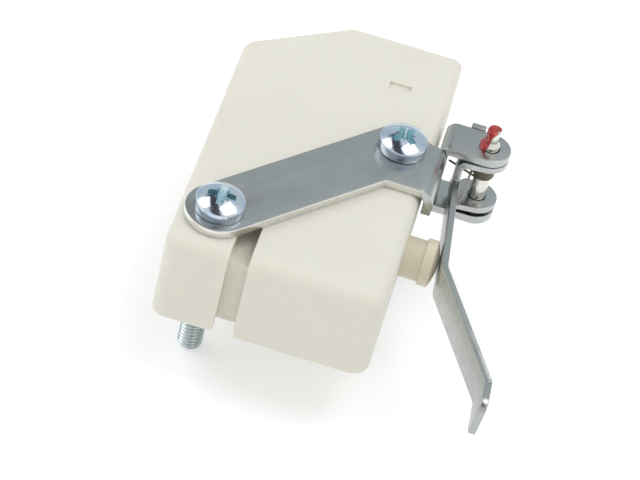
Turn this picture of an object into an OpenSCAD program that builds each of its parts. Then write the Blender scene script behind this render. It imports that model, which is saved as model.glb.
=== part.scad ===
// Lever micro switch: moulded housing with a snap-action contact set, a side plunger,
// a mounting plate folded into the two ears of a hinge, and a cranked sheet-metal lever.
// Origin: midway between the two mounting screws, on the rear mounting face.
// +X is the side the plunger comes out of, +Z is the front face, +Y runs up the face.

/* [Housing] */
// Width, from the terminal side to the plunger side
body_w = 35; // [34:0.5:38]
// Height of the front face
body_h = 61.5; // [60:0.5:66]
// Thickness, from the mounting face to the front face
body_t = 16.4; // [16:0.1:18]
// Left screw to the terminal side
side_margin = 6.3; // [6:0.1:7]
// Left screw to the bottom side
foot_margin = 8.1; // [7.5:0.1:9]
// Sloping shoulder: length taken off the top side
shoulder_w = 15.9; // [14:0.1:17]
// Sloping shoulder: length taken off the terminal side
shoulder_h = 11.3; // [10:0.1:12]
// Rounding of the edges of the front face
edge_r = 1.2; // [0.8:0.1:1.5]
// Rounding of the front face's bottom edge
foot_r = 2.3; // [1.5:0.1:2.4]
// Thickness of the front wall
front_wall = 2.2; // [1.8:0.1:2.6]
// Thickness of the rear cover
cover_t = 2.4; // [2:0.1:2.8]

/* [Relief groove] */
// Terminal side to the groove
groove_x = 10.2; // [10:0.1:10.6]
// Width of the groove
groove_w = 3.3; // [3:0.1:3.6]
// Depth below the front face
groove_front = 2.9; // [2:0.1:3.2]
// Depth into the bottom side
groove_foot = 2; // [1.5:0.1:2.2]

/* [Mounting screws] */
// Screw spacing across the body
screw_dx = 23.5; // [23:0.1:24]
// Screw spacing up the body
screw_dy = 25.7; // [25:0.1:26]
// Thread diameter
screw_d = 4; // [3.9:0.1:4]
// Plain shank diameter, above the thread
shank_d = 3.5; // [3.4:0.1:3.6]
// Length under the head
screw_len = 30; // [28:1:40]
// Head diameter
head_d = 7.8; // [7.4:0.1:8]
// Head height
head_h = 3.1; // [2.9:0.1:3.2]

/* [Mounting plate] */
// Sheet thickness
plate_t = 1.5; // [1.4:0.1:1.6]
// Width of the strip under the screws
plate_w = 10.6; // [10.2:0.1:11]
// Lower edge of the side tab
tab_y0 = 4.3; // [4:0.1:4.6]
// Upper edge of the side tab
tab_y1 = 17; // [16.8:0.1:17.4]
// Gap between the housing and the flange
flange_gap = 0.6; // [0.5:0.1:0.7]

/* [Hinge] */
// Height of the flange over both ears
hinge_h = 13.9; // [13.8:0.1:14.1]
// Pin axis across the body
pin_x = 25.2; // [25.1:0.1:25.3]
// Pin axis up the body
pin_y = 19.2; // [19:0.1:19.4]
// Pin diameter
pin_d = 2.8; // [2.7:0.05:2.85]
// Hole diameter in all four ears
pin_hole_d = 3; // [2.9:0.05:3]
// Radius of the rounded ear ends
ear_r = 3.35; // [3.1:0.05:3.4]

/* [Lever] */
// Sheet thickness of the lever
lever_t = 1.1; // [1:0.05:1.2]
// Height over both lever ears
lever_h = 9.9; // [9.7:0.1:10]
// Width of the blade
blade_w = 6.8; // [6:0.1:6.8]
// Pin axis to the lever web's face on the housing side
web_offset = 4.7; // [4.6:0.1:4.8]
// Lean of the first section, outwards from the housing
lean = 6.4; // [6:0.1:7]
// Pin axis down to the first bend
reach = 23.7; // [22:0.1:24]
// Length of the middle section
mid_len = 23.5; // [22:0.1:26]
// Length of the tip
tip_len = 6.2; // [5:0.1:9]
// Outward bend between the first and middle sections
crank = 21.4; // [15:0.1:24]
// Bend back towards the housing at the tip
tip_bend = 25; // [15:0.5:30]
// Skew of the tip's bend line across the blade
tip_skew = 13.6; // [0:0.1:16]

/* [Plunger] */
// Plunger axis up the body
plunger_y = -0.65; // [-1.2:0.05:0]
// Stem diameter
stem_d = 6.7; // [6.4:0.1:6.8]
// Head diameter
button_d = 7.6; // [7.2:0.1:8]

/* [Hidden] */
$fn = 48;
eps = 0.02;
over = 1;              // overshoot of cutting tools
arc_steps = 10;        // straight pieces in a drawn sheet-metal bend

screw_left = [-screw_dx / 2, -screw_dy / 2];
screw_right = -screw_left;
left = screw_left.x - side_margin;
right = left + body_w;
bottom = screw_left.y - foot_margin;
top = bottom + body_h;
mid_z = body_t / 2;

// Outline of the housing, anticlockwise from the bottom left corner, with its corner radii
body_points = [
    [left, bottom], [right, bottom], [right, top], [left + shoulder_w, top], [left, top - shoulder_h]
];
body_radii = [2.5, 3, 1.7, 2.5, 3];
body_edges = [foot_r, foot_r, edge_r, edge_r, edge_r];
cover_inset = 1.3;

plate_top = body_t + plate_t;
flange_in = right + flange_gap;
flange_out = flange_in + plate_t;
plate_bend = 1;        // inside radius of the plate's bend
bend_relief = 0.25;    // slit between the tab's bend and the ear's
screw_hole_d = 4.3;

hinge_bottom = plate_top - hinge_h;
ear_y0 = pin_y - ear_r;
ear_y1 = pin_y + ear_r;
lever_top = plate_top - plate_t - 0.15;
lever_bottom = lever_top - lever_h;
blade_top = lever_top - 3.85;
blade_bottom = blade_top - blade_w;
stop_h = 1.8;          // height of the stop finger above the lever's upper ear
stop_w = 2.4;

wire_d = 0.38;         // lever spring
spring_r = 1.64;

button_x = right + 3.1;
dome_r = 9;
collar_x = 12;
nose_d = 3.9;
nose_x = 6.45;
spring_wall_x = 7.3;
fit_gap = 0.08;        // running clearance round the plunger

strip_w = 6;           // width of all the current-carrying strips
strip_t = 0.8;
well_y = [3, 13.5, 24];
run_y = [-2.8, 18.4, 31.4];
well_w = 8;
well_d = 11;
well_h = 10.4;
pad_x = left + 8;
chamber_left = -3;
chamber_right = 14.5;
chamber_bottom = -17.5;
chamber_top = 37.6;

reed_x = 4.8;          // moving contact blade
reed_t = 0.4;
reed_foot = -16.15;    // line the blade rocks on
reed_top = 29.5;
contact_y = 27;
contact_d = 3;
rivet_d = 1.56;
open_x = 0.6;          // face of the normally open strip
closed_x = 7.05;       // face of the normally closed strip
common_x = 0;          // upright of the common strip

cream = [0.93, 0.92, 0.86];
beige = [0.85, 0.82, 0.73];
zinc = [0.66, 0.69, 0.71];
steel = [0.78, 0.79, 0.8];
dark_wire = [0.25, 0.25, 0.25];
brass = [0.83, 0.69, 0.4];
silver = [0.88, 0.88, 0.87];

// ---- plane geometry ----

function unit(v) = v / norm(v);
function left_of(v) = [-v.y, v.x];
function bearing(v) = atan2(v.y, v.x);
function turn(a, b) = (b - a + 540) % 360 - 180;
function wrap(i, n) = (i + n) % n;
function reversed(list) = [for (i = [len(list) - 1:-1:0]) list[i]];

// Half the angle of the corner at p, and the centre of its rounding
function half_angle(a, p, b) = acos(unit(a - p) * unit(b - p)) / 2;
function arc_centre(a, p, b, r) = p + unit(unit(a - p) + unit(b - p)) * r / sin(half_angle(a, p, b));

// The points of the arc that rounds the corner at p
function corner_arc(a, p, b, r) =
    let (
        c = arc_centre(a, p, b, r),
        run = r / tan(half_angle(a, p, b)),
        from = bearing(p + unit(a - p) * run - c),
        sweep = turn(from, bearing(p + unit(b - p) * run - c))
    )
    [for (i = [0:arc_steps]) let (at = from + sweep * i / arc_steps) c + r * [cos(at), sin(at)]];

function rounded(points, radii) =
    let (n = len(points))
    [
        for (i = [0:n - 1])
            each radii[i] > 0
                ? corner_arc(points[wrap(i - 1, n)], points[i], points[wrap(i + 1, n)], radii[i])
                : [points[i]]
    ];

// The path moved sideways by d, to the left of its direction
function heading(path, i) = unit(path[min(i + 1, len(path) - 1)] - path[min(i, len(path) - 2)]);
function shifted(path, d) =
    [
        for (i = [0:len(path) - 1])
            let (
                before = left_of(heading(path, max(i - 1, 0))),
                after = left_of(heading(path, i)),
                mitre = unit(before + after)
            )
            path[i] + mitre * d / (mitre * before)
    ];

// Radii along one face of a bent sheet: r on the inside of each bend, r + t on the outside
function face_radii(path, t, r, far) =
    [
        for (i = [0:len(path) - 1])
            i == 0 || i == len(path) - 1
                ? 0
                : (cross(heading(path, i - 1), heading(path, i)) * t > 0) == far ? r : r + abs(t)
    ];

// Section of a sheet that lies to the left of the path (to the right for a negative thickness)
module sheet_section(path, t, r) {
    polygon(rounded(
        concat(path, reversed(shifted(path, t))),
        concat(face_radii(path, t, r, false), reversed(face_radii(path, t, r, true)))
    ));
}

// Quarter-round foot of a corner post: radius r, top edge rounded by edge
module corner_post(r, edge, h) {
    cylinder(h = h - edge, r = r);
    translate([0, 0, h - edge])
        rotate_extrude()
            intersection() {
                translate([r - edge, 0]) circle(r = edge);
                square([r, edge]);
            }
}

// The housing's outer form: round corners, and a rounded edge all round the front face
module rounded_block() {
    n = len(body_points);
    hull()
        for (i = [0:n - 1])
            translate(arc_centre(
                body_points[wrap(i - 1, n)], body_points[i], body_points[wrap(i + 1, n)], body_radii[i]
            ))
                corner_post(body_radii[i], body_edges[i], body_t);
}

module cover_outline(inset) {
    polygon(rounded(shifted_ring(body_points, inset), [for (r = body_radii) max(r - inset, 0.5)]));
}

// A closed anticlockwise ring moved inwards by d
function shifted_ring(ring, d) =
    let (n = len(ring))
    [
        for (i = [0:n - 1])
            let (
                before = left_of(unit(ring[i] - ring[wrap(i - 1, n)])),
                after = left_of(unit(ring[wrap(i + 1, n)] - ring[i])),
                mitre = unit(before + after)
            )
            ring[i] + mitre * d / (mitre * before)
    ];

module along_x() {
    rotate([0, 90, 0]) children();
}

// Wire of diameter d swept along a list of points
module wire(points, d) {
    sides = 8;
    n = len(points);
    function tangent(i) = unit(points[min(i + 1, n - 1)] - points[max(i - 1, 0)]);
    function across(t) = unit(cross(t, abs(t.z) < 0.9 ? [0, 0, 1] : [1, 0, 0]));
    function at(i, k) = i * sides + k % sides;
    ring = [
        for (i = [0:n - 1])
            let (t = tangent(i), u = across(t), v = cross(t, u))
            for (k = [0:sides - 1])
                points[i] + d / 2 * (u * cos(360 * k / sides) + v * sin(360 * k / sides))
    ];
    polyhedron(
        points = ring,
        faces = [
            for (k = [1:sides - 2]) each [[0, k, k + 1], [at(n - 1, 0), at(n - 1, k + 1), at(n - 1, k)]],
            for (i = [0:n - 2])
                for (k = [0:sides - 1])
                    let (a = at(i, k), b = at(i, k + 1), c = at(i + 1, k + 1), d = at(i + 1, k))
                    each [[a, d, c], [a, c, b]]
        ]
    );
}

// ---- housing ----

module screw_holes(d) {
    for (p = [screw_left, screw_right])
        translate([p.x, p.y, -over]) cylinder(h = body_t + plate_t + 2 * over, d = d);
}

module groove() {
    translate([left + groove_x, bottom - over, body_t - groove_front])
        cube([groove_w, foot_margin + 4 + over, groove_front + over]);
    translate([left + groove_x, bottom - over, -over])
        cube([groove_w, groove_foot + over, body_t + 2 * over]);
}

module chamber() {
    difference() {
        translate([chamber_left, chamber_bottom, -over])
            cube([chamber_right - chamber_left, chamber_top - chamber_bottom, body_t - front_wall + over]);
        translate([screw_right.x, screw_right.y, -over]) cylinder(h = body_t + 2 * over, d = 8.4);
        spring_wall();
        plunger_guide();
    }
}

// Wall that the plunger's return spring pushes against
module spring_wall() {
    translate([spring_wall_x - 1.2, plunger_y - 5.5, 0]) cube([1.2, 11, body_t]);
}

// Thickened wall round the plunger
module plunger_guide() {
    translate([collar_x + 1.4, plunger_y - 6, 0]) cube([chamber_right - collar_x, 12, body_t]);
}

module terminal_wells() {
    for (y = well_y)
        translate([left - over, y - well_w / 2, mid_z - well_h / 2]) cube([well_d + over, well_w, well_h]);
}

// Slots, open at the back, that the terminal strips are pushed into
module strip_slots() {
    play = 0.05;
    for (i = [0:2]) {
        low = min(run_y[i], well_y[i]);
        high = max(run_y[i] + strip_t, well_y[i]);
        translate([pad_x - play, low - play, -over])
            cube([strip_t + 2 * play, high - low + 2 * play, over + mid_z + strip_w / 2 + play]);
        translate([pad_x - play, run_y[i] - play, -over])
            cube([
                chamber_left - pad_x + 2 * play, strip_t + 2 * play, over + mid_z + strip_w / 2 + play
            ]);
    }
}

// Shallow vent slot in the front wall
module vent() {
    depth = 0.5;
    translate([6.5, 28, body_t - depth]) cube([3.7, 1.7, depth + over]);
}

module housing() {
    color(cream)
        difference() {
            rounded_block();
            translate([0, 0, -over]) linear_extrude(cover_t + over) cover_outline(cover_inset);
            chamber();
            terminal_wells();
            strip_slots();
            groove();
            vent();
            screw_holes(screw_hole_d);
            translate([spring_wall_x - 2, plunger_y, mid_z])
                along_x() cylinder(h = 3, d = nose_d + 2 * fit_gap);
            translate([collar_x, plunger_y, mid_z])
                along_x() cylinder(h = 10, d = stem_d + 2 * fit_gap);
        }
}

module rear_cover() {
    color(cream)
        difference() {
            linear_extrude(cover_t)
                difference() {
                    cover_outline(cover_inset + 0.05);
                    translate([left + groove_x - 1.3, bottom - over])
                        square([groove_w + 2.6, groove_foot + 1.3 + over]);
                }
            screw_holes(screw_hole_d);
        }
}

// ---- plunger ----

// The button's dome just clears the leaning inner face of the lever
dome_x = pin_x - (web_offset + dome_r + 0.05 + (plunger_y - pin_y) * sin(lean)) / cos(lean);

module plunger() {
    edge = 1.2;
    tip_x = dome_x + dome_r;
    color(beige)
        translate([0, plunger_y, mid_z])
            along_x() {
                translate([0, 0, nose_x]) cylinder(h = tip_x - nose_x - 1, d = nose_d);
                translate([0, 0, collar_x]) cylinder(h = 1.3, d = 8.8);
                translate([0, 0, collar_x]) cylinder(h = button_x + 1 - collar_x, d = stem_d);
                intersection() {
                    translate([0, 0, dome_x]) sphere(r = dome_r);
                    rotate_extrude()
                        intersection() {
                            polygon(rounded(
                                [
                                    [-button_d / 2, button_x], [button_d / 2, button_x],
                                    [button_d / 2, tip_x + 0.3], [-button_d / 2, tip_x + 0.3]
                                ],
                                [0.3, 0.3, edge, edge]
                            ));
                            translate([0, button_x]) square([button_d, 4]);
                        }
                }
            }
}

module plunger_spring() {
    turns = 3.5;
    steps = 20;
    span = collar_x - spring_wall_x - 0.8;
    color(steel)
        translate([0, plunger_y, mid_z])
            wire(
                [
                    for (i = [0:turns * steps])
                        let (a = 360 * i / steps)
                        [spring_wall_x + 0.4 + span * i / (turns * steps), 3.2 * cos(a), 3.2 * sin(a)]
                ],
                0.6
            );
}

// ---- mounting plate and hinge pin ----

strip_dir = unit(screw_right - screw_left);
strip_len = norm(screw_right - screw_left);

// The point on the strip's edge at height y; side is +1 for the upper edge, -1 for the lower one
function strip_edge(y, side) =
    let (p = screw_left + left_of(strip_dir) * side * plate_w / 2)
    p + strip_dir * (y - p.y) / strip_dir.y;

// Plan of the flat strip; its upper edge drops away beside the hinge ear
module plate_flat(x_end) {
    upper = screw_left + left_of(strip_dir) * plate_w / 2;
    lower = screw_left - left_of(strip_dir) * plate_w / 2;
    drop_x = 13.2;
    translate(screw_left) circle(d = plate_w);
    polygon([
        upper, lower, strip_edge(tab_y0, -1), [x_end, tab_y0], [x_end, ear_y0 - bend_relief],
        [drop_x, tab_y1], strip_edge(tab_y1, 1)
    ]);
}

// The flange below the tab in side view: shallow at the tab, full height at the hinge
module flange_outline() {
    low = hinge_bottom + 2;
    join = ear_y0 + 1;
    polygon(rounded(
        [
            [tab_y0, body_t - 0.9], [tab_y0, body_t - 3.2], [ear_y0 - 2, low], [join, low],
            [join, body_t - 0.9]
        ],
        [0, 0.6, 2, 0, 0]
    ));
}

// The hinge ears in plan
module ear_outline() {
    translate([flange_in, ear_y0]) square([pin_x - flange_in, 2 * ear_r]);
    translate([pin_x, pin_y]) circle(r = ear_r);
}

module mounting_plate() {
    flat_end = flange_out - plate_bend - plate_t;
    ear_bend = 0.3;
    color(zinc)
        difference() {
            union() {
                translate([0, 0, body_t]) linear_extrude(plate_t) plate_flat(flat_end);
                translate([0, ear_y0 - bend_relief, 0])
                    rotate([90, 0, 0])
                        linear_extrude(ear_y0 - bend_relief - tab_y0)
                            sheet_section(
                                [[flange_in, body_t - 1], [flange_in, body_t], [flat_end - 1, body_t]],
                                -plate_t, plate_bend
                            );
                translate([flange_in, 0, 0])
                    rotate([90, 0, 90])
                        linear_extrude(plate_t) flange_outline();
                intersection() {
                    translate([0, ear_y1, 0])
                        rotate([90, 0, 0])
                            linear_extrude(2 * ear_r)
                                sheet_section(
                                    [
                                        [pin_x + ear_r, hinge_bottom], [flange_in, hinge_bottom],
                                        [flange_in, plate_top], [pin_x + ear_r, plate_top]
                                    ],
                                    -plate_t, ear_bend
                                );
                    linear_extrude(plate_top + over) ear_outline();
                }
            }
            screw_holes(screw_hole_d);
            translate([pin_x, pin_y, 0]) cylinder(h = plate_top + over, d = pin_hole_d);
        }
}

module hinge_pin() {
    shank_top = plate_top + 0.7;
    head_r = 2.3;
    head_top = hinge_bottom - eps;
    head_end = hinge_bottom - 1.5;
    color(steel)
        translate([pin_x, pin_y, 0])
            rotate_extrude()
                polygon([
                    [0, head_end], [head_r - 0.5, head_end], [head_r, head_end + 0.5], [head_r, head_top],
                    [pin_d / 2, head_top], [pin_d / 2, shank_top], [0.9, shank_top + 0.7],
                    [0.9, plate_top + 3.4], [0.7, plate_top + 3.6], [0, plate_top + 3.6]
                ]);
}

// ---- lever ----

// Runs its children in the lever's own frame: pin axis at the origin, first section along -Y
module lever_frame() {
    translate([pin_x, pin_y, 0]) rotate([0, 0, lean]) children();
}

// Section of the blade, in the lever's own frame; it runs past the tip's bend
module blade_section(start) {
    bend_at = [-web_offset, -reach];
    far = bend_at + (mid_len + 4) * [sin(crank), -cos(crank)];
    sheet_section([far, bend_at, [-web_offset, start]], -lever_t, 2);
}

module lever_yoke() {
    end_r = ear_r + 0.05;
    stop_x = 21.3 - pin_x;
    web_back = -0.3;
    difference() {
        yoke_sheet(end_r);
        // The web stops short at the back, where the spring's short leg passes it
        translate([-web_offset - over, web_back, lever_bottom + 2 * lever_t])
            cube([over + 2 * lever_t, 2 * ear_r, lever_h - 4 * lever_t]);
    }
    // Stop finger, turned up behind the mounting plate's upper ear
    rotate([0, 0, -lean])
        translate([stop_x, end_r, lever_top - lever_t + eps]) {
            cube([stop_w, lever_t, lever_t + stop_h]);
            translate([0, -2, 0]) cube([stop_w, 2.1, lever_t - 2 * eps]);
        }
}

module yoke_sheet(end_r) {
    intersection() {
        translate([0, 2 * ear_r, 0])
            rotate([90, 0, 0])
                linear_extrude(4 * ear_r)
                    sheet_section(
                        [
                            [2 * ear_r, lever_bottom], [-web_offset, lever_bottom],
                            [-web_offset, lever_top], [2 * ear_r, lever_top]
                        ],
                        -lever_t, 0.5
                    );
        linear_extrude(plate_top + 1) {
            circle(r = end_r);
            polygon([
                [-web_offset - 0.1, 1], [-web_offset - 0.1, -end_r], [0, -end_r], [0, end_r], [-2.2, end_r]
            ]);
        }
    }
}

// Runs its children in the frame of the tip's bend: the bend line is Z, the blade comes from +Y
module tip_frame() {
    hinge = [-web_offset, -reach] + mid_len * [sin(crank), -cos(crank)];
    translate([hinge.x, hinge.y, (blade_top + blade_bottom) / 2])
        rotate([0, 0, crank])
            rotate([tip_skew, 0, 0])
                children();
}

// The blade's tip beyond its skewed bend
module lever_tip() {
    half = blade_w / 2;
    slant = half * tan(tip_skew);
    tip_frame() {
        rotate([0, 0, 2])
            rotate_extrude(angle = -tip_bend - 4)
                translate([eps, eps - half / cos(tip_skew)])
                    square([lever_t - 2 * eps, blade_w / cos(tip_skew) - 2 * eps]);
        rotate([0, 0, -tip_bend])
            rotate([-tip_skew, 0, 0])
                rotate([0, 90, 0])
                    linear_extrude(lever_t)
                        polygon(rounded(
                            [
                                [-half, eps - slant], [-half, -tip_len], [half, -tip_len],
                                [half, eps + slant]
                            ],
                            [0, 2, 1, 0]
                        ));
    }
}

module lever_blade() {
    difference() {
        translate([0, 0, blade_bottom]) linear_extrude(blade_w) blade_section(0.3 - ear_r);
        tip_frame() translate([-10, -20 - eps, -blade_w]) cube([20, 20, 2 * blade_w]);
    }
}

module lever() {
    color(zinc)
        difference() {
            lever_frame() {
                lever_yoke();
                lever_blade();
                lever_tip();
            }
            translate([pin_x, pin_y, 0]) cylinder(h = plate_top, d = pin_hole_d);
        }
}

// Torsion spring round the pin: the upper leg runs down to the blade's outer face, the lower one
// passes behind the lever's web to the flange
module lever_spring() {
    turn_steps = 20;
    coil_turns = 6.83;
    steps = round(coil_turns * turn_steps);
    coil_top = lever_top - lever_t - 0.1 - wire_d / 2;
    pitch = wire_d + 0.015;
    leg_bend = [-0.12, -2, -0.1];
    function on_coil(i) =
        let (a = 180 - 360 * coil_turns * i / steps)
        [pin_x + spring_r * cos(a), pin_y + spring_r * sin(a), coil_top - pitch * coil_turns * i / steps];
    color(dark_wire)
        wire(
            concat(
                [on_coil(0) + leg_bend + [-0.67, -6.6, -3.1], on_coil(0) + leg_bend],
                [for (i = [0:steps]) on_coil(i)],
                [on_coil(steps) + 5.7 * unit([-0.885, 0.467, -0.08])]
            ),
            wire_d
        );
}

// ---- screws ----

module cross_recess(size, depth) {
    for (a = [0, 90])
        rotate([0, 0, a]) translate([-size / 2, -size / 7, -depth]) cube([size, size * 2 / 7, depth + over]);
    translate([0, 0, -depth]) cylinder(h = depth + over, d = size * 0.45);
}

module pan_head(d, h) {
    band = h * 0.35;
    cap_r = (d * d / 4 + (h - band) * (h - band)) / (2 * (h - band));
    intersection() {
        cylinder(h = h, d = d);
        translate([0, 0, h - cap_r]) sphere(r = cap_r);
    }
}

module mounting_screw(p) {
    color(steel)
        translate([p.x, p.y, plate_top]) {
            difference() {
                pan_head(head_d, head_h);
                translate([0, 0, head_h]) rotate([0, 0, 20]) cross_recess(4.2, 1.9);
            }
            translate([0, 0, -plate_top]) cylinder(h = plate_top + eps, d = shank_d);
            translate([0, 0, -screw_len + 0.7]) cylinder(h = screw_len - plate_top - 0.7, d = screw_d);
            translate([0, 0, -screw_len]) cylinder(h = 0.7 + eps, d1 = screw_d - 1.4, d2 = screw_d);
        }
}

module mounting_screw_left() {
    mounting_screw(screw_left);
}

module mounting_screw_right() {
    mounting_screw(screw_right);
}

module terminal_screw(y) {
    color(steel)
        translate([pad_x, y, mid_z])
            along_x() {
                translate([0, 0, -3.3])
                    difference() {
                        cylinder(h = 2.2, d = 5.6);
                        rotate([180, 0, 0]) cross_recess(2.8, 1);
                    }
                translate([0, 0, -1.2]) cylinder(h = 3.8, d = 2.86);
            }
}

module clamp(y) {
    color(steel)
        difference() {
            translate([pad_x - 1.1, y - 3.3, mid_z - 3.3]) cube([1.05, 6.6, 6.6]);
            translate([pad_x - 2, y, mid_z]) along_x() cylinder(h = 3, d = 3);
        }
}

// ---- contact set ----

module x_cylinder(x0, x1, y, d) {
    translate([min(x0, x1), y, mid_z]) along_x() cylinder(h = abs(x1 - x0), d = d);
}

// A strip with its terminal pad, standing on edge between the front wall and the cover
module terminal_strip(path, y) {
    color(brass)
        difference() {
            translate([0, 0, mid_z - strip_w / 2]) linear_extrude(strip_w) sheet_section(path, strip_t, 0.4);
            x_cylinder(pad_x - over, pad_x + strip_t + over, y, 3);
        }
}

// A contact with its face at x, head thickness h towards its strip and a rivet of the given length
module contact(x, h, rivet) {
    x_cylinder(x, x + h, contact_y, contact_d);
    x_cylinder(x + h - sign(h) * eps, x + h + sign(h) * rivet, contact_y, rivet_d);
}

module rivet_hole(x0, x1) {
    x_cylinder(x0 - over, x1 + over, contact_y, rivet_d + 0.04);
}

module terminal_common() {
    difference() {
        terminal_strip(
            [
                [pad_x, well_y[0] + 3], [pad_x, run_y[0]], [common_x, run_y[0]],
                [common_x, reed_foot - 0.75], [reed_x + 3, reed_foot - 0.75]
            ],
            well_y[0]
        );
        // Groove the contact blade rocks in
        translate([reed_x + reed_t / 2, reed_foot, 0]) cylinder(h = body_t, r = reed_t / 2 + 0.06);
    }
}

module terminal_normally_open() {
    difference() {
        terminal_strip(
            [
                [pad_x + strip_t, well_y[1] - 3], [pad_x + strip_t, run_y[1]],
                [open_x, run_y[1]], [open_x, reed_top]
            ],
            well_y[1]
        );
        rivet_hole(open_x - strip_t, open_x);
    }
}

module terminal_normally_closed() {
    difference() {
        terminal_strip(
            [
                [pad_x + strip_t, well_y[2] - 3], [pad_x + strip_t, run_y[2]],
                [closed_x, run_y[2]], [closed_x, contact_y - 2.4]
            ],
            well_y[2]
        );
        rivet_hole(closed_x, closed_x + strip_t);
    }
}

module contact_blade() {
    width = strip_w - 1;
    color(brass)
        difference() {
            union() {
                translate([reed_x, reed_foot, mid_z - width / 2])
                    cube([reed_t, reed_top - reed_foot, width]);
                translate([reed_x + reed_t / 2, reed_foot, mid_z - width / 2])
                    cylinder(h = width, d = reed_t);
            }
            rivet_hole(reed_x, reed_x + reed_t);
        }
}

module moving_contact() {
    color(silver) {
        contact(closed_x - 1.05, -0.78, reed_t + 0.1);
        contact(reed_x - 0.8, 0.78, reed_t + 0.1);
    }
}

module contact_normally_open() {
    color(silver) contact(open_x + 1, -0.98, strip_t + 0.3);
}

module contact_normally_closed() {
    color(silver) contact(closed_x - 1, 0.98, strip_t + 0.3);
}

// Bowed leaf between the common strip and the contact blade
module snap_spring() {
    width = 3;
    leaf = 0.25;
    bow_r = 45;
    from = [common_x + strip_t + 0.3, -9];
    to = [reed_x - 0.3, 9];
    half = norm(to - from) / 2;
    centre = (from + to) / 2 + left_of(unit(to - from)) * sqrt(bow_r * bow_r - half * half);
    start = bearing(from - centre);
    sweep = turn(start, bearing(to - centre));
    color(steel)
        translate([centre.x, centre.y, mid_z - width / 2])
            rotate([0, 0, start])
                rotate_extrude(angle = sweep)
                    translate([bow_r - leaf, 0]) square([leaf, width]);
}

module terminal_screw_common() {
    terminal_screw(well_y[0]);
}

module terminal_screw_open() {
    terminal_screw(well_y[1]);
}

module terminal_screw_closed() {
    terminal_screw(well_y[2]);
}

module clamp_common() {
    clamp(well_y[0]);
}

module clamp_open() {
    clamp(well_y[1]);
}

module clamp_closed() {
    clamp(well_y[2]);
}

housing();
rear_cover();
plunger();
plunger_spring();
mounting_plate();
lever();
hinge_pin();
lever_spring();
mounting_screw_left();
mounting_screw_right();
terminal_common();
terminal_normally_open();
terminal_normally_closed();
contact_blade();
moving_contact();
contact_normally_open();
contact_normally_closed();
snap_spring();
terminal_screw_common();
terminal_screw_open();
terminal_screw_closed();
clamp_common();
clamp_open();
clamp_closed();
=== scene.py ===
"""Looks for the lever micro switch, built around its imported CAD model."""

import math

import bmesh
import bpy
from mathutils import Matrix, Vector
from mathutils.bvhtree import BVHTree


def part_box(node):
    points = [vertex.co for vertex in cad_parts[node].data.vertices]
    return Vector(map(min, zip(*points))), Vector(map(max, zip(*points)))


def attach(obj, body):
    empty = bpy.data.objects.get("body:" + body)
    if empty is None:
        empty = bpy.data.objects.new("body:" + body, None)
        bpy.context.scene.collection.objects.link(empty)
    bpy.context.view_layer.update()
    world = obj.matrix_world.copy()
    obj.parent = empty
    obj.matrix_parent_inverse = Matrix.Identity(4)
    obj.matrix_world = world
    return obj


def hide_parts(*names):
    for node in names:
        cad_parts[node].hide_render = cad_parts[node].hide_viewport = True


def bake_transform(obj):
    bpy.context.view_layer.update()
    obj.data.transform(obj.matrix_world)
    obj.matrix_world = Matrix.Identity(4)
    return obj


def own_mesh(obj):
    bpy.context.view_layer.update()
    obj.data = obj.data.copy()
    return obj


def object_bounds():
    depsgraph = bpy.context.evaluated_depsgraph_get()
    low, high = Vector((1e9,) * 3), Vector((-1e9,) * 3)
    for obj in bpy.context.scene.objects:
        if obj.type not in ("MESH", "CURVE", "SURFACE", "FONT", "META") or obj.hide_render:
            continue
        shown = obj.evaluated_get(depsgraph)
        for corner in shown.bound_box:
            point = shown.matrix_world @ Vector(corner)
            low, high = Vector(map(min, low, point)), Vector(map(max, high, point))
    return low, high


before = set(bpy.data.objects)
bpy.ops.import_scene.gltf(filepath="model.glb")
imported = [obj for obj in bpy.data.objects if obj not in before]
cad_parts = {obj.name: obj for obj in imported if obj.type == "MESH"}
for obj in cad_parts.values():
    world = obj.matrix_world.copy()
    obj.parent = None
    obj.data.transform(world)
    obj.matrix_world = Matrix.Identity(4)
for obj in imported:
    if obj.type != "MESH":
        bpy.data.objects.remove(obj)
cad_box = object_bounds()

MM = 0.001

# The photograph's view. Angles are in degrees, the lens and its sensor in millimetres.
AZIMUTH = -3.4
ELEVATION = 42.9
ROLL = 14.56
LENS = 168.0
SENSOR = 36
NEAR_CLIP = 0.01
DISTANCE = 474.7 * MM
TARGET = Vector((3.51, 1.79, 3.9)) * MM

# Sheet metal: the strip on the housing ends at this X, and the ears and the lever lie beyond
STRIP_END = 17.0 * MM

# Painted brightness of the upright faces beyond the strip, against the sheet's face colour,
# from the lever's tip to its hinge, as (place, level). The place is Y over the length, plus the
# offset. It was tuned to the reflections in the photograph. It isn't wear, and no known
# difference in the metal stands behind it.
GRADING_LENGTH = 40 * MM
GRADING_OFFSET = 0.8
PAINTED_REFLECTION_LEVELS = ((0.05, 0.95), (0.3, 1.2), (0.65, 1.5), (0.95, 1.12))

# Rounds along sheared edges. Only edges that turn more than EDGE_ANGLE are rounded, and faces
# within FLAT_ANGLE of each other count as one; both are in degrees.
EDGE_ROUND = 0.12 * MM
EDGE_SEGMENTS = 3
EDGE_ANGLE = 40
FLAT_ANGLE = 1
CAD_WELD = 0.001 * MM
SHEET_WELD = 0.004 * MM

# Edges sharper than this stay sharp in the shading, in degrees
CAD_CREASE = 32
SHEET_CREASE = 50
HEAD_CREASE = 28
THREAD_CREASE = 60
LACQUER_CREASE = 80

# Screw heads
HEAD_DOME = 7.0 * MM
HEAD_FOOT = 0.25 * MM
HEAD_SHOULDER = 0.3 * MM
HEAD_SIDES = 96
AXIS_HOLE = 0.01 * MM

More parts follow.
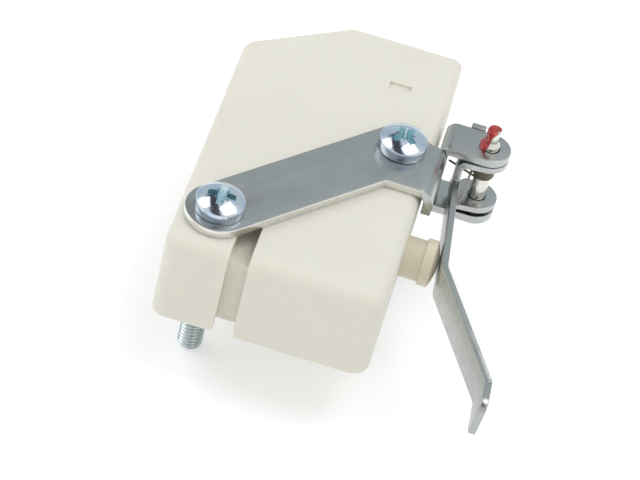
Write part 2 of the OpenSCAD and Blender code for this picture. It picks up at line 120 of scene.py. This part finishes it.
# Cutters of the cross recess, in millimetres: half widths above and at the bottom,
# half lengths above and at the bottom, depth
WING = (0.66, 0.45, 2.9, 1.1, 2.3)
SLIM_GROOVE = (0.17, 0.12, 2.1, 0.8, 1.5)
WELL = (1.25, 0.6, 1.25, 0.6, 1.9)
CUTTER_LIFT = 0.8 * MM

# The recess walls lie this near the axis and this far below the dome
RECESS_REACH = 2.5 * MM
RECESS_MARGIN = 0.03 * MM

# Screw threads, from the screw's end up to THREAD_TOP. Crest and flank are shares of half
# a pitch. The neck is the share of the thread's radius left where the shank meets the plate.
THREAD_RADIUS = 2.0 * MM
THREAD_PITCH = 0.7 * MM
THREAD_DEPTH = 0.38 * MM
THREAD_TOP = 1.0 * MM
THREAD_CHAMFER = 0.65 * MM
THREAD_CREST = 0.12
THREAD_FLANK = 0.72
THREAD_SIDES = 64
THREAD_STEPS = 9
NECK = 0.9

# Lacquer on the pin's stepped stump. In degrees: its middle's direction round the pin, and how
# far it spreads to each side at the foot, with its growth to the top and its wave.
# The stump's radius and step, the coat's thickness and its ripples are in millimetres.
DAB_ROWS = 26
DAB_CAP_ROWS = 8
DAB_COLUMNS = 32
DAB_WELD = 0.002 * MM
DAB_MIDDLE = 160
DAB_SPREAD = 82
DAB_GROWTH = 62
DAB_WAVE = 8
STUMP_RADIUS = 1.42
STUMP_STEP = 0.5
STEP_HEIGHT = 0.7 * MM
DAB_GAP = 0.02 * MM
DAB_SINK = 0.05 * MM
DAB_CROWN = 0.26 * MM
DAB_THINNEST = 0.01
DAB_THICKNESS = 0.30
DAB_RIPPLE = 0.08
DAB_FINE_RIPPLE = 0.04

# Floor and studio. The tent runs from its front colour to its back colour along +Y. The dark gap
# between the two softboxes lies in the plane square to GAP_NORMAL.
FLOOR_SIZE = 6
FLOOR_DROP = 0.05 * MM
FLOOR_GLOW = 0.26
TENT_FRONT = (0.92, 0.92, 0.92)
TENT_BACK = (0.62, 0.68, 0.71)
GAP_COLOUR = (0.08, 0.07, 0.08)
GAP_NORMAL = (0.879, 0.4415, 0.1805)
LAMP_AIM = Vector((0, 0, 0.01))


# ---- shader helpers ----

# The Mix node keeps sockets for each data type; these are the colour ones
MIX_FACTOR, MIX_A, MIX_B, MIX_RESULT = 0, 6, 7, 2

NOISE_ROUGHNESS = 0.55


def new_material(name):
    material = bpy.data.materials.new(name)
    material.use_nodes = True
    tree = material.node_tree
    return material, tree, tree.nodes["Principled BSDF"]


def fill(node, **sockets):
    """Sets sockets by name, with underscores for spaces."""
    for key, value in sockets.items():
        node.inputs[key.replace("_", " ")].default_value = value


def add(tree, kind, **sockets):
    node = tree.nodes.new(kind)
    fill(node, **sockets)
    return node


def link(tree, source, target):
    tree.links.new(source, target)


def feed(tree, value, socket):
    """Links a socket, or sets a number or colour."""
    if isinstance(value, bpy.types.NodeSocket):
        link(tree, value, socket)
    else:
        socket.default_value = value if isinstance(value, (int, float)) else (*value, 1)


def coordinates(tree, scale=(1, 1, 1)):
    """Object coordinates in metres, stretched by scale."""
    where = add(tree, "ShaderNodeTexCoord")
    mapping = add(tree, "ShaderNodeMapping", Scale=scale)
    link(tree, where.outputs["Object"], mapping.inputs["Vector"])
    return mapping.outputs["Vector"]


def noise(tree, scale, detail, stretch=(1, 1, 1)):
    """Noise of about scale features per metre."""
    node = add(tree, "ShaderNodeTexNoise", Scale=scale, Detail=detail,
               Roughness=NOISE_ROUGHNESS)
    link(tree, coordinates(tree, stretch), node.inputs["Vector"])
    return node.outputs["Fac"]


def ramp(tree, source, stops):
    """Colour ramp through (position, colour) stops; a number stands for a grey."""
    node = add(tree, "ShaderNodeValToRGB")
    elements = node.color_ramp.elements
    while len(elements) < len(stops):
        elements.new(0.5)
    for element, (position, value) in zip(elements, stops):
        element.position = position
        element.color = (value,) * 3 + (1,) if isinstance(value, (int, float)) else (*value, 1)
    link(tree, source, node.inputs["Fac"])
    return node.outputs["Color"]


def varied(tree, stops, scale, detail, stretch=(1, 1, 1)):
    """A colour or grey that noise carries through the ramp's stops."""
    return ramp(tree, noise(tree, scale, detail, stretch), stops)


def mix(tree, factor, a, b):
    """Mixes two colours; factor, a and b may be sockets or values."""
    node = add(tree, "ShaderNodeMix")
    node.data_type = "RGBA"
    for index, value in ((MIX_FACTOR, factor), (MIX_A, a), (MIX_B, b)):
        feed(tree, value, node.inputs[index])
    return node.outputs[MIX_RESULT]


def math_node(tree, operation, a, b=0.0, c=None):
    node = add(tree, "ShaderNodeMath")
    node.operation = operation
    for socket, value in zip(node.inputs, (a, b) if c is None else (a, b, c)):
        feed(tree, value, socket)
    return node.outputs[0]


def bump(tree, shader, height, strength, distance):
    node = add(tree, "ShaderNodeBump", Strength=strength, Distance=distance)
    link(tree, height, node.inputs["Height"])
    link(tree, node.outputs["Normal"], shader.inputs["Normal"])


def split_axes(tree, vector):
    node = add(tree, "ShaderNodeSeparateXYZ")
    link(tree, vector, node.inputs["Vector"])
    return node.outputs


def facing_up(tree):
    """1 on faces that look along +Z or -Z, 0 on the sides."""
    where = add(tree, "ShaderNodeNewGeometry")
    return math_node(tree, "ABSOLUTE", split_axes(tree, where.outputs["Normal"])["Z"])


def shade(colour, level):
    return tuple(c * level for c in colour)


# ---- materials ----

def moulded_plastic(name, light, dark, roughness):
    """Satin moulding: faint mottling, fine grain and a soft translucency."""
    material, tree, shader = new_material(name)
    mottling = varied(tree, [(0.3, dark), (0.7, light)], scale=55, detail=4)
    specks = varied(tree, [(0.24, 0.0), (0.3, 1.0)], scale=900, detail=2)
    link(tree, mix(tree, specks, shade(dark, 0.93), mottling), shader.inputs["Base Color"])
    gloss = [(0.3, roughness - 0.06), (0.7, roughness + 0.08)]
    link(tree, varied(tree, gloss, scale=140, detail=4), shader.inputs["Roughness"])
    fill(shader, Subsurface_Weight=0.35, Subsurface_Scale=1.6 * MM,
         Subsurface_Radius=(1.0, 0.75, 0.4), Specular_IOR_Level=0.35)
    bump(tree, shader, noise(tree, 2600, detail=2), strength=0.12, distance=0.05 * MM)
    return material


def zinc_sheet(name, face, edge, roughness):
    """Zinc plated sheet with cloudy grey faces. Faces that stand upright carry a painted
    reflection.

    Along the strip these are the sheared edges, in the edge colour, nearly twice as bright as
    the face. Beyond it they follow PAINTED_REFLECTION_LEVELS. Both were tuned to the photograph's
    reflections.
    """
    material, tree, shader = new_material(name)
    up = ramp(tree, facing_up(tree), [(0.55, 0.0), (0.8, 1.0)])
    clouds = [(0.3, shade(face, 0.93)), (0.7, shade(face, 1.06))]
    face_colour = varied(tree, clouds, scale=130, detail=5)
    # Sheared edges along the strip: their streaks are grain, and their brightness, nearly twice the
    # face's, is painted reflection.
    edge_grain_and_reflection = [(0.3, shade(edge, 0.9)), (0.7, edge)]
    edge_colour = varied(tree, edge_grain_and_reflection, scale=700, detail=3, stretch=(1, 1, 0.12))
    along = split_axes(tree, coordinates(tree))
    past = math_node(tree, "MULTIPLY", along["X"], 1 / STRIP_END)
    strip = ramp(tree, past, [(0.97, 1.0), (1.0, 0.0)])
    # Beyond the strip the upright faces carry painted reflection, graded from the lever's tip to
    # its hinge.
    reach = math_node(tree, "MULTIPLY_ADD", along["Y"], 1 / GRADING_LENGTH, GRADING_OFFSET)
    graded_reflection = ramp(tree, reach, [(place, shade(face, level)) for place, level in PAINTED_REFLECTION_LEVELS])
    upright = mix(tree, strip, graded_reflection, edge_colour)
    link(tree, mix(tree, up, upright, face_colour), shader.inputs["Base Color"])
    fill(shader, Metallic=1.0)
    gloss = [(0.3, roughness - 0.06), (0.75, roughness + 0.1)]
    link(tree, varied(tree, gloss, scale=320, detail=5), shader.inputs["Roughness"])
    bump(tree, shader, noise(tree, 1500, detail=4), strength=0.1, distance=0.04 * MM)
    return material


def bright_zinc(name, pale, tint, roughness):
    """Bright blue-passivated steel, tinted in patches."""
    material, tree, shader = new_material(name)
    patches = varied(tree, [(0.35, tint), (0.65, pale)], scale=260, detail=3)
    link(tree, patches, shader.inputs["Base Color"])
    fill(shader, Metallic=1.0)
    gloss = [(0.3, roughness * 0.7), (0.7, roughness * 1.5)]
    link(tree, varied(tree, gloss, scale=900, detail=4), shader.inputs["Roughness"])
    bump(tree, shader, noise(tree, 1200, detail=3), strength=0.05, distance=0.03 * MM)
    return material


def drawn_wire(name, colour):
    """Drawn steel wire with fine streaks."""
    material, tree, shader = new_material(name)
    streaks = [(0.3, shade(colour, 0.6)), (0.7, colour)]
    streaked = varied(tree, streaks, scale=1400, detail=3, stretch=(1, 1, 0.3))
    link(tree, streaked, shader.inputs["Base Color"])
    fill(shader, Metallic=1.0, Roughness=0.35)
    return material


def stamped_brass(name, colour):
    """Stamped brass strip, tarnished in patches."""
    material, tree, shader = new_material(name)
    tarnish = varied(tree, [(0.3, shade(colour, 0.7)), (0.6, colour)], scale=300, detail=5)
    link(tree, tarnish, shader.inputs["Base Color"])
    fill(shader, Metallic=1.0)
    gloss = varied(tree, [(0.3, 0.22), (0.7, 0.42)], scale=500, detail=4)
    link(tree, gloss, shader.inputs["Roughness"])
    bump(tree, shader, noise(tree, 1600, detail=3), strength=0.08, distance=0.03 * MM)
    return material


def red_lacquer(name):
    """Glossy red lacquer with darker and lighter patches."""
    material, tree, shader = new_material(name)
    reds = [(0.3, (0.30, 0.010, 0.010)), (0.7, (0.52, 0.022, 0.018))]
    link(tree, varied(tree, reds, scale=900, detail=3), shader.inputs["Base Color"])
    fill(shader, Roughness=0.22, Coat_Weight=0.6)
    bump(tree, shader, noise(tree, 1500, detail=2), strength=0.25, distance=0.1 * MM)
    return material


# ---- mesh helpers ----

def shade_smooth(mesh, crease=None):
    """Shades a mesh smooth. Edges sharper than crease degrees stay sharp."""
    mesh.polygons.foreach_set("use_smooth", [True] * len(mesh.polygons))
    if crease is not None:
        mesh.set_sharp_from_angle(angle=math.radians(crease))


def finish_cad(node, material):
    """Gives a CAD node that stays its material and smooth shading."""
    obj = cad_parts[node]
    for slot in obj.material_slots:
        slot.material = material
    shade_smooth(obj.data, CAD_CREASE)


def new_object(name, data):
    obj = bpy.data.objects.new(name, data)
    bpy.context.scene.collection.objects.link(obj)
    return obj


def new_mesh(name, vertices, faces):
    mesh = bpy.data.meshes.new(name)
    mesh.from_pydata([tuple(v) for v in vertices], [], faces)
    return mesh


def mesh_object(name, vertices, faces, material, body, crease):
    mesh = new_mesh(name, vertices, faces)
    mesh.update()
    obj = new_object(name, mesh)
    mesh.materials.append(material)
    shade_smooth(mesh, crease)
    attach(obj, body)
    return obj


def copy_of(node, name, material, body):
    """Stands for a CAD node by a copy of its mesh. With no body, it is attached to none."""
    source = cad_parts[node]
    mesh = source.data.copy()
    mesh.transform(source.matrix_world)
    mesh.materials.clear()
    mesh.materials.append(material)
    obj = new_object(name, mesh)
    if body:
        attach(obj, body)
    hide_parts(node)
    return obj


def axis_of(low, high):
    """The upright axis through the middle of a box."""
    return Vector(((low.x + high.x) / 2, (low.y + high.y) / 2, 0))


def polar(radius, angle, z):
    return Vector((radius * math.cos(angle), radius * math.sin(angle), z))


def clamp(value):
    return min(1.0, max(0.0, value))


def quads(first, rows, columns, wrap=False):
    """Faces of a grid of points, row by row; wrap joins each row's end to its start."""
    wide = columns if wrap else columns + 1
    faces = []
    for i in range(rows):
        for k in range(columns):
            low, high = first + i * wide, first + (i + 1) * wide
            n = (k + 1) % wide
            faces.append((low + k, low + n, high + n, high + k))
    return faces


def rings_to_mesh(rings):
    """Closed skin over a stack of rings with the same number of points."""
    sides = len(rings[0])
    vertices = [p for ring in rings for p in ring]
    faces = quads(0, len(rings) - 1, sides, wrap=True)
    faces.append(tuple(range(sides))[::-1])
    faces.append(tuple(range((len(rings) - 1) * sides, len(rings) * sides)))
    return vertices, faces


def close_up(work, distance):
    """Merges points that coincide and drops the empty faces between them."""
    bmesh.ops.remove_doubles(work, verts=work.verts, dist=distance)
    bmesh.ops.dissolve_degenerate(work, edges=work.edges, dist=distance)


# ---- sheet metal and springs ----

def soften(node, body, material):
    """Gives a sheet-metal node narrow rounds along its sheared edges.

    The rounding leaves spikes at a few corners, which are set back onto the node's surface.
    """
    mesh = copy_of(node, f"{node}_sheet", material, body).data
    work = bmesh.new()
    work.from_mesh(mesh)
    bmesh.ops.remove_doubles(work, verts=work.verts, dist=CAD_WELD)
    flat = math.radians(FLAT_ANGLE)
    bmesh.ops.dissolve_limit(work, angle_limit=flat, verts=work.verts, edges=work.edges)
    bend = math.radians(EDGE_ANGLE)
    sharp = [e for e in work.edges if len(e.link_faces) == 2 and e.calc_face_angle(0) > bend]
    surface = BVHTree.FromBMesh(work)
    bmesh.ops.bevel(work, geom=sharp, offset=EDGE_ROUND, segments=EDGE_SEGMENTS, profile=0.5,
                    affect="EDGES", clamp_overlap=False)
    for vertex in work.verts:
        nearest, _, _, distance = surface.find_nearest(vertex.co)
        if distance > EDGE_ROUND / 2:
            vertex.co = nearest
    close_up(work, SHEET_WELD)
    work.to_mesh(mesh)
    work.free()
    shade_smooth(mesh, SHEET_CREASE)


def torsion_spring(material):
    """The lever's spring: its coil and both legs stay where they are."""
    spring = copy_of("lever_spring", "lever_spring_wire", material, None)
    shade_smooth(spring.data)
    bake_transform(spring)


def inner_spring(node, material):
    """A spring in the housing, a copy of its CAD mesh carried by the switch."""
    spring = copy_of(node, f"{node}_wire", material, "switch")
    shade_smooth(spring.data)
    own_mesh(spring)


# ---- mounting screws ----

def arc(cx, cz, radius, start, end, steps):
    """Points of an arc in a lathe profile, angles in degrees from the radius axis."""
    out = []
    for i in range(steps + 1):
        a = math.radians(start + (end - start) * i / steps)
        out.append((cx + radius * math.cos(a), cz + radius * math.sin(a)))
    return out


def head_profile(radius, height):
    """Pan head from bottom to top, as (radius, height): upright side, shoulder and round dome."""
    reach = radius - HEAD_SHOULDER
    rise = math.sqrt((HEAD_DOME - HEAD_SHOULDER) ** 2 - reach ** 2)
    start = math.degrees(math.atan2(rise, reach))
    profile = arc(radius - HEAD_FOOT, HEAD_FOOT, HEAD_FOOT, -90, 0, steps=4)
    profile += arc(reach, height - HEAD_DOME + rise, HEAD_SHOULDER, 0, start, steps=6)
    profile += arc(0, height - HEAD_DOME, HEAD_DOME, start, 90, steps=24)[1:]
    return profile


def lathe(profile, centre, sides):
    """Turns a profile about the centre's upright axis. A point on the axis becomes a tiny ring."""
    turns = [2 * math.pi * k / sides for k in range(sides)]
    return rings_to_mesh([
        [centre + polar(max(radius, AXIS_HOLE), turn, z) for turn in turns] for radius, z in profile
    ])


def thread_rings(centre, low, high):
    """Rings of a single-start thread of rolled, slightly rounded form with a chamfered tip."""
    count = int((high - low) / THREAD_PITCH * THREAD_STEPS)
    rings = []
    for i in range(count + 1):
        z = low + (high - low) * i / count
        chamfer = THREAD_RADIUS - THREAD_CHAMFER + (z - low)
        ring = []
        for k in range(THREAD_SIDES):
            turn = k / THREAD_SIDES
            wave = abs(2 * ((z / THREAD_PITCH - turn) % 1) - 1)
            flank = clamp((wave - THREAD_CREST) / THREAD_FLANK)
            r = min(THREAD_RADIUS - THREAD_DEPTH * flank, chamfer)
            a = 2 * math.pi * turn
            ring.append(Vector((centre.x + r * math.cos(a), centre.y + r * math.sin(a), z)))
        rings.append(ring)
    return rings


def wedge(width_top, width_bottom, length_top, length_bottom, depth):
    """A tapered bar along X, from depth below zero to CUTTER_LIFT above it, by its half sizes."""
    vertices = []
    ends = ((CUTTER_LIFT, length_top, width_top), (-depth, length_bottom, width_bottom))
    for z, length, width in ends:
        for x, y in ((-length, -width), (length, -width), (length, width), (-length, width)):
            vertices.append(Vector((x, y, z)))
    faces = [(0, 1, 2, 3), (7, 6, 5, 4), (4, 5, 1, 0), (5, 6, 2, 1), (6, 7, 3, 2), (7, 4, 0, 3)]
    return vertices, faces


def recess_cutters(top, turn):
    """Cutters for a cross recess: two wings, slim grooves at 45 degrees, and the middle well."""
    cutters = []
    shapes = ((0, WING), (90, WING), (45, SLIM_GROOVE), (135, SLIM_GROOVE), (45, WELL))
    for angle, sizes in shapes:
        mesh = new_mesh("cutter", *wedge(*(size * MM for size in sizes)))
        turned = Matrix.Rotation(math.radians(angle + turn), 4, "Z")
        mesh.transform(Matrix.Translation(top) @ turned)
        cutters.append(new_object("cutter", mesh))
    return cutters


def cut(obj, cutters):
    """Subtracts the cutters, applies the result and removes them."""
    for cutter in cutters:
        modifier = obj.modifiers.new("cut", "BOOLEAN")
        modifier.operation = "DIFFERENCE"
        modifier.solver = "EXACT"
        modifier.object = cutter
    bpy.context.view_layer.update()
    evaluated = obj.evaluated_get(bpy.context.evaluated_depsgraph_get())
    mesh = bpy.data.meshes.new_from_object(evaluated)
    obj.modifiers.clear()
    obj.data = mesh
    for cutter in cutters:
        bpy.data.objects.remove(cutter)


def paint_recess(obj, centre, top, material):
    """Gives the recess walls, which lie below the dome near the axis, their own material: the
    plating's teal tint, with painted light that keeps them from going dark.
    """
    obj.data.materials.append(material)
    for polygon in obj.data.polygons:
        offset = polygon.center - centre
        radius = math.hypot(offset.x, offset.y)
        if radius < RECESS_REACH:
            dome = top - HEAD_DOME + math.sqrt(HEAD_DOME ** 2 - radius ** 2)
            if polygon.center.z < dome - RECESS_MARGIN:
                polygon.material_index = 1


def mounting_screw(side, turn, material, walls, thread):
    """Replaces a CAD screw with a rounded head, its recess at turn degrees, and a rolled thread."""
    node = f"mounting_screw_{side}"
    low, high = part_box(node)
    plate_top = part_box("mounting_plate")[1].z
    centre = axis_of(low, high)
    profile = head_profile((high.x - low.x) / 2, high.z - plate_top)
    vertices, faces = lathe(profile, centre + Vector((0, 0, plate_top)), HEAD_SIDES)
    head = mesh_object(f"{node}_head", vertices, faces, material, "switch",
                       HEAD_CREASE)
    cut(head, recess_cutters(Vector((centre.x, centre.y, high.z)), turn))
    head.data.set_sharp_from_angle(angle=math.radians(HEAD_CREASE))
    paint_recess(head, centre, high.z, walls)
    rings = thread_rings(centre, low.z, THREAD_TOP)
    rings.append([
        Vector((centre.x + (p.x - centre.x) * NECK, centre.y + (p.y - centre.y) * NECK, plate_top))
        for p in rings[-1]
    ])
    vertices, faces = rings_to_mesh(rings)
    shank = mesh_object(f"{node}_thread", vertices, faces, thread, "switch",
                        THREAD_CREASE)
    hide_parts(node)
    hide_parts(node)


# ---- lacquer ----

def lacquer_layers():
    """Points of the dab's outer and inner skins, row by row from the ear up and over the top."""
    low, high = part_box("hinge_pin")
    ear_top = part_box("mounting_plate")[1].z
    centre = axis_of(low, high)
    outer, inner = [], []
    for i in range(DAB_ROWS + DAB_CAP_ROWS + 1):
        rise = min(i, DAB_ROWS) / DAB_ROWS
        cap = max(0, i - DAB_ROWS) / DAB_CAP_ROWS * math.pi / 2
        z = ear_top + DAB_GAP + (high.z - ear_top) * rise
        narrow = clamp((z - ear_top - STEP_HEIGHT) / STEP_HEIGHT)
        stump = (STUMP_RADIUS - STUMP_STEP * narrow) * MM
        wave = DAB_WAVE * math.sin(7 * rise)
        spread = math.radians(DAB_SPREAD + DAB_GROWTH * rise ** 2 + wave)
        for k in range(DAB_COLUMNS + 1):
            f = 2 * k / DAB_COLUMNS - 1
            a = math.radians(DAB_MIDDLE) + f * spread
            edge = math.sqrt(max(0.0, 1 - f * f))
            ripple = DAB_RIPPLE * math.sin(9 * rise + 1.3 * f)
            fine_ripple = DAB_FINE_RIPPLE * math.sin(5 * f + 4 * rise)
            lump = DAB_THICKNESS + ripple + fine_ripple
            r = (stump + (DAB_THINNEST + lump * edge) * MM) * math.cos(cap)
            crown = DAB_CROWN * math.sin(cap) * (edge + (1 - edge) * cap / (math.pi / 2))
            outer.append(centre + polar(r, a, z + crown))
            r = (stump - DAB_SINK) * math.cos(cap)
            inner.append(centre + polar(r, a, z - DAB_SINK * math.sin(cap)))
    return outer, inner


def lacquer_dab(material):
    """Thick red lacquer down one side of the pin's stump and over most of its top."""
    outer, inner = lacquer_layers()
    rows, columns, shift = DAB_ROWS + DAB_CAP_ROWS, DAB_COLUMNS, len(outer)
    faces = quads(0, rows, columns)
    faces += [quad[::-1] for quad in quads(shift, rows, columns)]
    for i in range(rows):
        for k in (0, columns):
            a, b = i * (columns + 1) + k, (i + 1) * (columns + 1) + k
            faces.append((a, b, b + shift, a + shift) if k == 0 else (b, a, a + shift, b + shift))
    for k in range(columns):
        faces.append((k + 1, k, k + shift, k + 1 + shift))
    dab = mesh_object("lacquer_dab", outer + inner, faces, material, "switch",
                      LACQUER_CREASE)
    work = bmesh.new()
    work.from_mesh(dab.data)
    close_up(work, DAB_WELD)
    bmesh.ops.recalc_face_normals(work, faces=work.faces)
    work.to_mesh(dab.data)
    work.free()


# ---- scene ----

def dress_frame():
    ivory = moulded_plastic("ivory_plastic", (0.79, 0.77, 0.69), (0.765, 0.74, 0.655), 0.48)
    beige = moulded_plastic("beige_plastic", (0.76, 0.70, 0.56), (0.72, 0.66, 0.51), 0.42)
    sheet = zinc_sheet("zinc_sheet", (0.43, 0.445, 0.44), (0.82, 0.82, 0.78), 0.26)
    bright = bright_zinc("bright_zinc", (0.66, 0.72, 0.77), (0.50, 0.60, 0.73), 0.12)
    pin = bright_zinc("turned_pin", (0.80, 0.78, 0.72), (0.70, 0.69, 0.64), 0.16)
    wire = drawn_wire("spring_wire", (0.26, 0.24, 0.19))
    brass = stamped_brass("stamped_brass", (0.80, 0.62, 0.30))
    silver = bright_zinc("contact_silver", (0.85, 0.85, 0.83), (0.75, 0.75, 0.73), 0.25)
    looks = {
        ivory: ["housing", "rear_cover"],
        beige: ["plunger"],
        pin: ["hinge_pin"],
        wire: ["snap_spring"],
        brass: [
            "terminal_common", "terminal_normally_open", "terminal_normally_closed",
            "contact_blade",
        ],
        silver: ["moving_contact", "contact_normally_open", "contact_normally_closed"],
        bright: [
            "terminal_screw_common", "terminal_screw_open", "terminal_screw_closed",
            "clamp_common", "clamp_open", "clamp_closed",
        ],
    }
    for material, nodes in looks.items():
        for node in nodes:
            finish_cad(node, material)
    # The recess walls are more teal than the head, as the plating's tint, and paler, as painted
    # light against the recess's shade.
    walls = bright_zinc("recess_zinc", (0.70, 0.84, 0.87), (0.50, 0.70, 0.77), 0.28)
    thread = bright_zinc("thread_zinc", (0.58, 0.64, 0.65), (0.48, 0.56, 0.60), 0.2)
    for side, turn in (("left", 3), ("right", 47)):
        mounting_screw(side, turn, bright, walls, thread)
    for node, body in (("mounting_plate", "switch"), ("lever", "lever")):
        soften(node, body, sheet)
    inner_spring("plunger_spring", wire)
    torsion_spring(wire)
    lacquer_dab(red_lacquer("red_lacquer"))


def floor_material():
    """White to the camera and in reflections, with the object's shadow kept."""
    material, tree, shader = new_material("floor_paper")
    fibres = varied(tree, [(0.3, 0.93), (0.7, 0.95)], scale=60, detail=4)
    link(tree, fibres, shader.inputs["Base Color"])
    fill(shader, Roughness=0.9, Specular_IOR_Level=0.1, Emission_Color=(1, 1, 1, 1))
    path = add(tree, "ShaderNodeLightPath")
    seen = math_node(tree, "MAXIMUM", path.outputs["Is Camera Ray"], path.outputs["Is Glossy Ray"])
    seen = math_node(tree, "MAXIMUM", seen, path.outputs["Is Transmission Ray"])
    glow = math_node(tree, "MULTIPLY", seen, FLOOR_GLOW)
    link(tree, glow, shader.inputs["Emission Strength"])
    return material


def make_floor():
    below = (0, 0, cad_box[0][2] - FLOOR_DROP)
    bpy.ops.mesh.primitive_plane_add(size=FLOOR_SIZE, location=below)
    floor = bpy.context.object
    floor.name = "floor"
    floor.data.materials.append(floor_material())


def make_world():
    """Studio tent, cooler at the back, with a dark gap overhead and white to the camera.

    The gap and the softboxes are a guess at the studio, worked out from the reflections in
    the photograph's screw heads.
    """
    world = bpy.data.worlds.new("studio")
    bpy.context.scene.world = world
    world.use_nodes = True
    tree = world.node_tree
    background = tree.nodes["Background"]
    around = add(tree, "ShaderNodeTexCoord").outputs["Generated"]
    split = split_axes(tree, around)
    tent = ramp(tree, split["Y"], [(0.2, TENT_FRONT), (0.62, TENT_BACK)])
    across = add(tree, "ShaderNodeVectorMath")
    across.operation = "DOT_PRODUCT"
    across.inputs[1].default_value = GAP_NORMAL
    link(tree, around, across.inputs[0])
    off_plane = math_node(tree, "ABSOLUTE", across.outputs["Value"])
    beside = ramp(tree, off_plane, [(0.15, 1.0), (0.24, 0.0)])
    above = ramp(tree, split["Z"], [(0.6, 0.0), (0.7, 1.0)])
    tent = mix(tree, math_node(tree, "MULTIPLY", beside, above), tent, GAP_COLOUR)
    path = add(tree, "ShaderNodeLightPath")
    seen = mix(tree, path.outputs["Is Camera Ray"], tent, (1, 1, 1))
    link(tree, seen, background.inputs["Color"])
    background.inputs["Strength"].default_value = 1.0


def softbox(name, location, size, energy, spin):
    """A soft lamp that faces the object, turned by spin degrees about its own axis."""
    light = bpy.data.lights.new(name, "AREA")
    light.shape = "RECTANGLE"
    light.size, light.size_y = size
    light.energy = energy
    lamp = new_object(name, light)
    lamp.location = location
    facing = (LAMP_AIM - Vector(location)).to_track_quat("-Z", "Y").to_matrix()
    lamp.rotation_euler = (facing @ Matrix.Rotation(math.radians(spin), 3, "Z")).to_euler()


def make_lights():
    softbox("softbox_left", (-0.515, 0.12, 0.60), (0.43, 0.45), energy=1.2, spin=30)
    softbox("softbox_right", (0.264, 0.098, 0.75), (0.37, 0.49), energy=1.35, spin=40)


def make_camera():
    azimuth, elevation = math.radians(AZIMUTH), math.radians(ELEVATION)
    flat = math.cos(elevation)
    forward = Vector((math.sin(azimuth) * flat, math.cos(azimuth) * flat, -math.sin(elevation)))
    data = bpy.data.cameras.new("camera")
    data.lens = LENS
    data.sensor_width = SENSOR
    data.clip_start = NEAR_CLIP
    camera = new_object("camera", data)
    place = Matrix.Translation(TARGET - forward * DISTANCE)
    level = forward.to_track_quat("-Z", "Y").to_matrix().to_4x4()
    camera.matrix_world = place @ level @ Matrix.Rotation(math.radians(ROLL), 4, "Z")
    bpy.context.scene.camera = camera


dress_frame()
make_floor()
make_world()
make_lights()
make_camera()
bpy.context.scene.view_settings.view_transform = "Standard"
